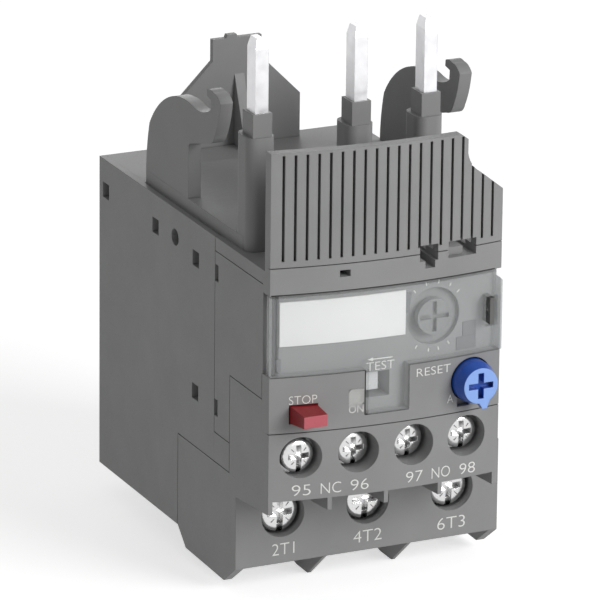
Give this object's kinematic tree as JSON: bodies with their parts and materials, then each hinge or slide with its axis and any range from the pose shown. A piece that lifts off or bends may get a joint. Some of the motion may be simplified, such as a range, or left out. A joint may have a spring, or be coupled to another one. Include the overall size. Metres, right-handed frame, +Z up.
{
  "type": "thermal overload relay",
  "caption": "Motor overload relay that plugs under a contactor: bimetal trip unit in a moulded housing with line pins, hooks, screw terminals, current dial, reset knob and stop button.",
  "frame": {"origin": "centre of the base of the bounding box", "axes": "+Z up along the line pins, -Y out of the front with the dial and the buttons, +X to the right seen from the front"},
  "size_m": [0.045, 0.0698, 0.0896],
  "materials": {
    "housing_grey": "fine matt moulded grey thermoplastic",
    "inner_black": "matt black moulded",
    "silvered_copper": "bright silver-plated copper",
    "bimetal": "rolled bimetal strip",
    "heater_ribbon": "glass-fibre sleeve with a resistance ribbon round it",
    "zinc_steel": "bright zinc-plated steel",
    "spring_steel": "drawn spring wire",
    "clear_cover": "clear polycarbonate",
    "white_label": "plain white",
    "red_button": "dark red moulded",
    "blue_knob": "mid blue moulded",
    "grey_dial": "matt grey moulded"
  },
  "bodies": {
    "housing": {"side_cover": "housing_grey", "main_housing": "housing_grey", "front_housing": "housing_grey", "ribbed_hood": "housing_grey", "control_block": "housing_grey", "main_block": "housing_grey", "mounting_frame": "housing_grey", "left_hook": "housing_grey", "right_hook": "housing_grey", "latch_plate": "housing_grey", "seal_lug": "housing_grey", "line_pin_1": "silvered_copper", "line_pin_2": "silvered_copper", "line_pin_3": "silvered_copper", "load_strap_1": "silvered_copper", "load_strap_2": "silvered_copper", "load_strap_3": "silvered_copper", "fixed_contact_95": "silvered_copper", "fixed_contact_96": "silvered_copper", "fixed_contact_97": "silvered_copper", "fixed_contact_98": "silvered_copper", "main_screws": "zinc_steel", "control_screws": "zinc_steel", "main_clamps": "zinc_steel", "control_clamps": "zinc_steel", "cover_pin": "zinc_steel", "name_label": "white_label"},
    "cover": {"clear_cover": "clear_cover"},
    "dial": {"setting_dial": "grey_dial", "setting_cam": "inner_black"},
    "stop": {"stop_button": "red_button", "stop_spring": "spring_steel"},
    "reset": {"reset_stem": "grey_dial", "reset_spring": "spring_steel"},
    "knob": {"reset_knob": "blue_knob"},
    "test": {"test_slide": "white_label"},
    "drive": {"drive_bar": "inner_black"},
    "differential": {"differential_bar": "inner_black"},
    "strip_1": {"bimetal_1": "bimetal", "heater_1": "heater_ribbon"},
    "strip_2": {"bimetal_2": "bimetal", "heater_2": "heater_ribbon"},
    "strip_3": {"bimetal_3": "bimetal", "heater_3": "heater_ribbon"},
    "crank": {"trip_crank": "inner_black"},
    "carrier": {"contact_carrier": "inner_black", "nc_bridge": "silvered_copper", "no_bridge": "silvered_copper", "trip_flag": "white_label"}
  },
  "joints": [
    {"name": "cover_hinge", "type": "hinge", "parent": "housing", "child": "cover", "pos_m": [-0.02155, -0.02855, 0.0463], "axis": [0, 0, -1], "range_deg": [0, 110]},
    {"name": "dial_turn", "type": "hinge", "parent": "housing", "child": "dial", "pos_m": [0.00455, -0.02955, 0.0464], "axis": [0, 1, 0], "range_deg": [-135, 135]},
    {"name": "stop_press", "type": "slide", "parent": "housing", "child": "stop", "axis": [0, 1, 0], "range_m": [0, 0.0025], "stiffness_N_per_m": 600, "springref_m": -0.001, "deforming": ["stop_spring"]},
    {"name": "reset_press", "type": "slide", "parent": "housing", "child": "reset", "axis": [0, 1, 0], "range_m": [0, 0.002], "stiffness_N_per_m": 600, "springref_m": -0.001, "deforming": ["reset_spring"]},
    {"name": "reset_turn", "type": "hinge", "parent": "reset", "child": "knob", "pos_m": [0.0106, -0.03255, 0.0357], "axis": [0, 1, 0], "range_deg": [0, 60]},
    {"name": "test_push", "type": "slide", "parent": "housing", "child": "test", "axis": [-1, 0, 0], "range_m": [0, 0.001]},
    {"name": "drive_slide", "type": "slide", "parent": "housing", "child": "drive", "axis": [1, 0, 0], "range_m": [0, 0.0015]},
    {"name": "differential_slide", "type": "slide", "parent": "housing", "child": "differential", "axis": [1, 0, 0], "range_m": [0, 0.00155]},
    {"name": "crank_turn", "type": "hinge", "parent": "housing", "child": "crank", "pos_m": [0.0128, -0.00955, 0.0407], "axis": [0, 1, 0], "range_deg": [0, 12]},
    {"name": "carrier_lift", "type": "slide", "parent": "housing", "child": "carrier", "axis": [0, 0, 1], "range_m": [0, 0.0012]},
    {"name": "bimetal_1_bend", "type": "hinge", "parent": "housing", "child": "strip_1", "pos_m": [-0.0145, 0.01495, 0.0175], "axis": [0, 1, 0], "range_deg": [0, 2.9]},
    {"name": "bimetal_2_bend", "type": "hinge", "parent": "housing", "child": "strip_2", "pos_m": [0, 0.01495, 0.0175], "axis": [0, 1, 0], "range_deg": [0, 2.9]},
    {"name": "bimetal_3_bend", "type": "hinge", "parent": "housing", "child": "strip_3", "pos_m": [0.0145, 0.01495, 0.0175], "axis": [0, 1, 0], "range_deg": [0, 2.9]}
  ],
  "couplings": [
    {"joint": "differential_slide", "follows": "drive_slide", "ratio": 1},
    {"joint": "crank_turn", "follows": "drive_slide", "rad_per_m": 136.14},
    {"joint": "carrier_lift", "follows": "drive_slide", "ratio": 0.76667},
    {"joint": "bimetal_1_bend", "follows": "drive_slide", "rad_per_m": 33.003},
    {"joint": "bimetal_2_bend", "follows": "drive_slide", "rad_per_m": 33.003},
    {"joint": "bimetal_3_bend", "follows": "drive_slide", "rad_per_m": 33.003}
  ]
}
